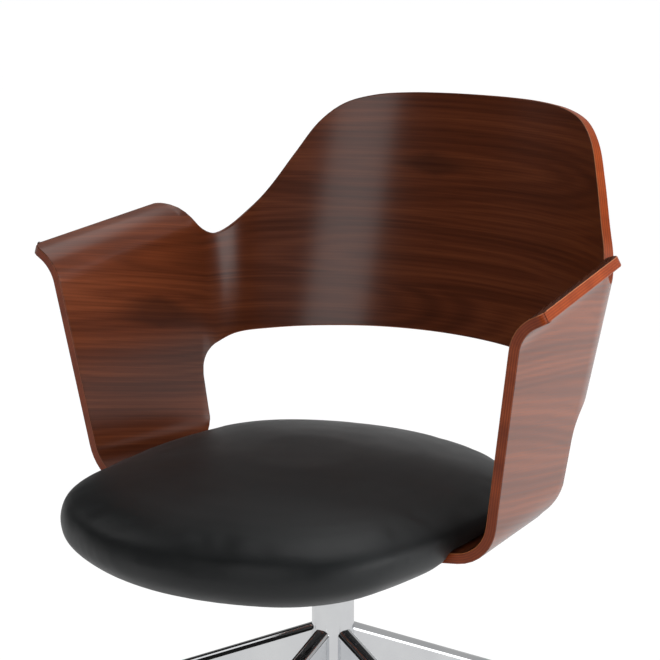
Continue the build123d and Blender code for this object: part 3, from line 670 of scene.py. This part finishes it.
PAD_VOXEL = 0.005
PAD_SPREAD = (1.01, 1.01, 1.0)
PAD_SETTLE = 0.0025
PAD_PRESSURE = 4.0
PAD_FRAMES = 20
PAD_CAP = 0.003


def copy_of(node, name):
    piece = bpy.data.objects.new(name, nodes[node].data.copy())
    scene.collection.objects.link(piece)
    return piece


pad = copy_of("seat_cushion", "seat_pad")
low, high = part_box("seat_cushion")
remesh = pad.modifiers.new("remesh", "REMESH")
remesh.mode = "VOXEL"
remesh.voxel_size = PAD_VOXEL
apply_modifiers(pad)
middle = (np.array(low) + np.array(high)) / 2
rest = np.array([vertex.co for vertex in pad.data.vertices])
rest = middle + (rest - middle) * PAD_SPREAD
rest[:, 2] -= PAD_SETTLE * np.clip((rest[:, 2] - 0.37) / 0.06, 0.0, 1.0)
forward = np.clip((-0.07 - rest[:, 1]) / 0.2, 0.0, 1.0)
backward = np.clip(rest[:, 1] / 0.15, 0.0, 1.0)
rest[:, 1] -= 0.004 * forward * (1 - 1.6 * (rest[:, 0] / 0.225)**2)
rest[:, 0] *= 1 + 0.02 * backward
for vertex, spot in zip(pad.data.vertices, rest):
    vertex.co = spot
cloth = pad.modifiers.new("cloth", "CLOTH")
cloth.settings.use_pressure = True
cloth.settings.uniform_pressure_force = PAD_PRESSURE
cloth.settings.effector_weights.gravity = 0.0
cloth.settings.quality = 5
cloth.point_cache.frame_start = 1
cloth.point_cache.frame_end = PAD_FRAMES
for step in range(1, PAD_FRAMES + 1):
    scene.frame_set(step)
apply_modifiers(pad)
scene.frame_set(1)
blown = np.array([vertex.co for vertex in pad.data.vertices])
move = blown - rest
far = np.linalg.norm(move, axis=1)
move *= (np.minimum(far, PAD_CAP) / np.maximum(far, 1e-9))[:, None]
# The underside stays where the board and the panel hold it
held = np.clip((rest[:, 2] - 0.366) / 0.014, 0.0, 1.0)[:, None]
soft = rest + move * held
for vertex, spot in zip(pad.data.vertices, soft):
    vertex.co = spot
even = pad.modifiers.new("even", "SMOOTH")
even.factor = 0.5
even.iterations = 8
apply_modifiers(pad)
pad.data.materials.clear()
pad.data.materials.append(LEATHER)
for polygon in pad.data.polygons:
    polygon.use_smooth = True
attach(pad, "seat")
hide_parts("seat_cushion")


# Floor, light and camera

def stage_floor():
    points = [(-40, -40, 0), (40, -40, 0), (40, 40, 0), (-40, 40, 0)]
    data = bpy.data.meshes.new("floor")
    data.from_pydata(points, [], [(0, 1, 2, 3)])
    floor = bpy.data.objects.new("floor", data)
    scene.collection.objects.link(floor)
    shader = Shader("floor", Base_Color=(0.9, 0.9, 0.9, 1), Roughness=0.7)
    rays = shader.add("ShaderNodeLightPath")
    seen = shader.math("MAXIMUM", rays.outputs["Is Camera Ray"], rays.outputs["Is Glossy Ray"])
    seen = shader.math("MAXIMUM", seen, rays.outputs["Is Transmission Ray"])
    glow = shader.add("ShaderNodeEmission")
    blend = shader.add("ShaderNodeMixShader")
    dimmed = shader.math("MULTIPLY", rays.outputs["Is Glossy Ray"], 0.36)
    shader.link(shader.math("SUBTRACT", 1.06, dimmed), glow.inputs["Strength"])
    shader.link(shader.math("MULTIPLY", seen, 0.94), blend.inputs["Fac"])
    shader.link(shader.surface.outputs[0], blend.inputs[1])
    shader.link(glow.outputs[0], blend.inputs[2])
    shader.link(blend.outputs[0], shader.tree.nodes["Material Output"].inputs["Surface"])
    data.materials.append(shader.material)


def softbox(name, place, aim, width, height, watts):
    light = bpy.data.lights.new(name, "AREA")
    light.shape = "RECTANGLE"
    light.size = width
    light.size_y = height
    light.energy = watts
    lamp = bpy.data.objects.new(name, light)
    scene.collection.objects.link(lamp)
    lamp.location = place
    lamp.rotation_euler = (Vector(aim) - Vector(place)).to_track_quat("-Z", "Y").to_euler()
    return lamp


def stage_world():
    """White to the eye, even grey as soft light, and in reflections bright at the right, dim elsewhere."""
    world = bpy.data.worlds.new("studio")
    scene.world = world
    world.use_nodes = True
    tree = world.node_tree
    back = tree.nodes["Background"]
    rays = tree.nodes.new("ShaderNodeLightPath")
    way = tree.nodes.new("ShaderNodeTexCoord")

    def patch(direction, edge, full, level):
        """Brightness that rises to a level near one direction."""
        toward = tree.nodes.new("ShaderNodeVectorMath")
        toward.operation = "DOT_PRODUCT"
        toward.inputs[1].default_value = direction
        tree.links.new(way.outputs["Generated"], toward.inputs[0])
        shine = tree.nodes.new("ShaderNodeMapRange")
        shine.interpolation_type = "SMOOTHSTEP"
        for key, value in (("From Min", edge), ("From Max", full), ("To Min", 0.0), ("To Max", level)):
            shine.inputs[key].default_value = value
        tree.links.new(toward.outputs["Value"], shine.inputs["Value"])
        return shine.outputs["Result"]

    def add(first, second):
        node = tree.nodes.new("ShaderNodeMath")
        for socket, value in zip(node.inputs, (first, second)):
            if hasattr(value, "is_output"):
                tree.links.new(value, socket)
            else:
                socket.default_value = value
        return node.outputs[0]

    rear = patch((0.5, 0.866, 0.0), 0.1, 0.4, 0.40)
    right = patch((0.99, 0.12, 0.0), 0.90, 0.95, 2.5)
    glossy = add(add(rear, right), 0.01)

    def choose(ray, plain, special):
        node = tree.nodes.new("ShaderNodeMix")
        tree.links.new(rays.outputs[ray], node.inputs["Factor"])
        for socket, value in ((node.inputs[2], plain), (node.inputs[3], special)):
            if hasattr(value, "is_output"):
                tree.links.new(value, socket)
            else:
                socket.default_value = value
        return node.outputs[0]

    level = choose("Is Glossy Ray", 0.16, glossy)
    level = choose("Is Transmission Ray", level, 1.0)
    level = choose("Is Camera Ray", level, 1.0)
    tree.links.new(level, back.inputs["Strength"])
    back.inputs["Color"].default_value = (1, 1, 1, 1)


stage_floor()
stage_world()
softbox("key", (2.4, 1.2, 1.3), (0, 0, 0.55), 1.4, 1.1, 115).visible_glossy = False
softbox("fill", (-2.5, -0.7, 2.5), (0, 0, 0.5), 1.6, 1.6, 7)
softbox("front", (0.55, -3.1, 1.75), (0, 0, 0.6), 1.3, 1.6, 12)
softbox("front_fill", (1.7, -2.2, 1.3), (0, 0, 0.6), 1.5, 1.5, 14).visible_glossy = False
softbox("top", (0.1, 0.5, 2.9), (0, 0, 0.4), 1.8, 1.8, 14)

camera_data = bpy.data.cameras.new("camera")
camera_data.lens = 106.39
camera_data.sensor_width = 36.0
camera_data.clip_end = 50
camera = bpy.data.objects.new("camera", camera_data)
scene.collection.objects.link(camera)
camera.location = (1.21198, -1.73089, 1.03921)
camera.rotation_euler = Vector((-0.56086, 0.79825, -0.21961)).to_track_quat("-Z", "Y").to_euler()
scene.camera = camera
scene.view_settings.view_transform = "Standard"
